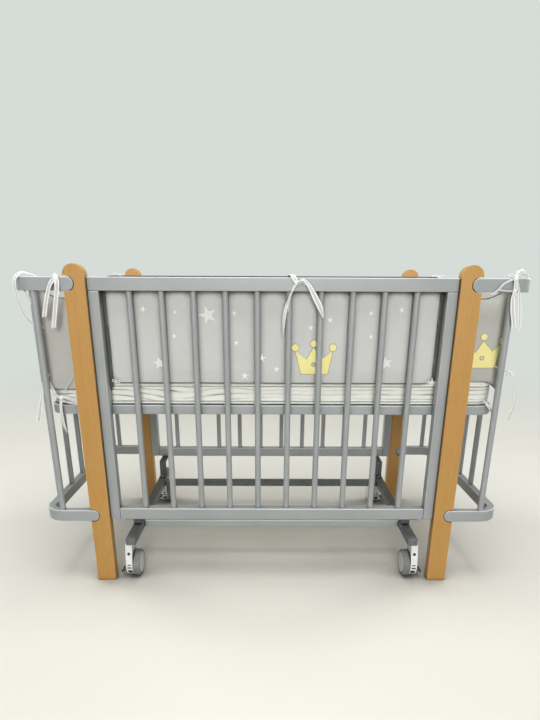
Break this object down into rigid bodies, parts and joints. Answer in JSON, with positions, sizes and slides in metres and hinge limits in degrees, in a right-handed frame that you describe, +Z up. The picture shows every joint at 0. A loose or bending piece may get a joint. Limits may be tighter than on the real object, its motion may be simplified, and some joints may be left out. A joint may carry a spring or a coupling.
{
  "type": "convertible crib",
  "caption": "Convertible crib with upright wooden leg boards, grey spindle sides, bent end rails, mattress, tied bumper pads and a castor frame.",
  "frame": {"origin": "centre of the crib's footprint, on the floor that the legs stand on", "axes": "+X along the crib's length to its right end, +Y from its front side to its back side, +Z up"},
  "size_m": [1.3, 0.6413, 0.88],
  "materials": {
    "leg_wood": "satin clear lacquer, golden oak colour",
    "frame_paint": "satin light grey paint over wood",
    "base_plywood": "plain sanded plywood",
    "mattress_cloth": "matt woven cotton cover",
    "bumper_cloth": "matt woven cotton, printed",
    "ribbon_cloth": "matt cotton ribbon",
    "bracket_steel": "satin black",
    "castor_plastic": "smooth white",
    "wheel_rubber": "matt grey tread and a light grey cap",
    "pedal_plastic": "matt black"
  },
  "bodies": {
    "frame": {"leg_front_left": "leg_wood", "leg_front_right": "leg_wood", "leg_back_left": "leg_wood", "leg_back_right": "leg_wood", "front_top_rail": "frame_paint", "front_bottom_rail": "frame_paint", "front_stile_left": "frame_paint", "front_stile_right": "frame_paint", "front_spindle_01": "frame_paint", "front_spindle_02": "frame_paint", "front_spindle_03": "frame_paint", "front_spindle_04": "frame_paint", "front_spindle_05": "frame_paint", "front_spindle_06": "frame_paint", "front_spindle_07": "frame_paint", "front_spindle_08": "frame_paint", "front_spindle_09": "frame_paint", "front_spindle_10": "frame_paint", "back_top_rail": "frame_paint", "back_bottom_rail_and_spindles": "frame_paint", "back_stile_left": "frame_paint", "back_stile_right": "frame_paint", "left_end_top_rail": "frame_paint", "right_end_top_rail": "frame_paint", "left_end_bottom_rail_and_spindles": "frame_paint", "right_end_bottom_rail_and_spindles": "frame_paint", "base_frame": "frame_paint", "wheel_frame_bar_left": "frame_paint", "wheel_frame_bar_right": "frame_paint", "wheel_frame_stretcher_front": "frame_paint", "wheel_frame_stretcher_back": "frame_paint", "base_board": "base_plywood", "mattress": "mattress_cloth", "bumper_front": "bumper_cloth", "bumper_back": "bumper_cloth", "bumper_left": "bumper_cloth", "bumper_right": "bumper_cloth", "wheel_frame_bracket_front_left": "bracket_steel", "wheel_frame_bracket_front_right": "bracket_steel", "wheel_frame_bracket_back_left": "bracket_steel", "wheel_frame_bracket_back_right": "bracket_steel", "tie_front_centre": "ribbon_cloth", "tie_front_left": "ribbon_cloth", "tie_left_corner": "ribbon_cloth", "tie_right_corner": "ribbon_cloth", "tie_left_lower": "ribbon_cloth", "tie_left_outer": "ribbon_cloth", "tie_right_lower": "ribbon_cloth"},
    "castor_front_left": {"castor_housing_front_left": "castor_plastic"},
    "wheel_front_left": {"castor_wheel_front_left": "wheel_rubber"},
    "pedal_front_left": {"brake_pedal_front_left": "pedal_plastic"},
    "castor_front_right": {"castor_housing_front_right": "castor_plastic"},
    "wheel_front_right": {"castor_wheel_front_right": "wheel_rubber"},
    "pedal_front_right": {"brake_pedal_front_right": "pedal_plastic"},
    "castor_back_left": {"castor_housing_back_left": "castor_plastic"},
    "wheel_back_left": {"castor_wheel_back_left": "wheel_rubber"},
    "pedal_back_left": {"brake_pedal_back_left": "pedal_plastic"},
    "castor_back_right": {"castor_housing_back_right": "castor_plastic"},
    "wheel_back_right": {"castor_wheel_back_right": "wheel_rubber"},
    "pedal_back_right": {"brake_pedal_back_right": "pedal_plastic"}
  },
  "joints": [
    {"name": "swivel_front_left", "type": "hinge", "parent": "frame", "child": "castor_front_left", "pos_m": [-0.4107, -0.278, 0.118], "axis": [0, 0, 1], "continuous": true},
    {"name": "roll_front_left", "type": "hinge", "parent": "castor_front_left", "child": "wheel_front_left", "pos_m": [-0.4003, -0.27, 0.0398], "axis": [1, 0, 0], "continuous": true},
    {"name": "brake_front_left", "type": "hinge", "parent": "castor_front_left", "child": "pedal_front_left", "pos_m": [-0.4345, -0.27, 0.023], "axis": [0, -1, 0], "range_deg": [0, 15]},
    {"name": "swivel_front_right", "type": "hinge", "parent": "frame", "child": "castor_front_right", "pos_m": [0.4107, -0.278, 0.118], "axis": [0, 0, 1], "continuous": true},
    {"name": "roll_front_right", "type": "hinge", "parent": "castor_front_right", "child": "wheel_front_right", "pos_m": [0.4003, -0.27, 0.0398], "axis": [1, 0, 0], "continuous": true},
    {"name": "brake_front_right", "type": "hinge", "parent": "castor_front_right", "child": "pedal_front_right", "pos_m": [0.4345, -0.27, 0.023], "axis": [0, 1, 0], "range_deg": [0, 15]},
    {"name": "swivel_back_left", "type": "hinge", "parent": "frame", "child": "castor_back_left", "pos_m": [-0.4107, 0.278, 0.118], "axis": [0, 0, 1], "continuous": true},
    {"name": "roll_back_left", "type": "hinge", "parent": "castor_back_left", "child": "wheel_back_left", "pos_m": [-0.4003, 0.286, 0.0398], "axis": [1, 0, 0], "continuous": true},
    {"name": "brake_back_left", "type": "hinge", "parent": "castor_back_left", "child": "pedal_back_left", "pos_m": [-0.4345, 0.286, 0.023], "axis": [0, -1, 0], "range_deg": [0, 15]},
    {"name": "swivel_back_right", "type": "hinge", "parent": "frame", "child": "castor_back_right", "pos_m": [0.4107, 0.278, 0.118], "axis": [0, 0, 1], "continuous": true},
    {"name": "roll_back_right", "type": "hinge", "parent": "castor_back_right", "child": "wheel_back_right", "pos_m": [0.4003, 0.286, 0.0398], "axis": [1, 0, 0], "continuous": true},
    {"name": "brake_back_right", "type": "hinge", "parent": "castor_back_right", "child": "pedal_back_right", "pos_m": [0.4345, 0.286, 0.023], "axis": [0, 1, 0], "range_deg": [0, 15]}
  ]
}
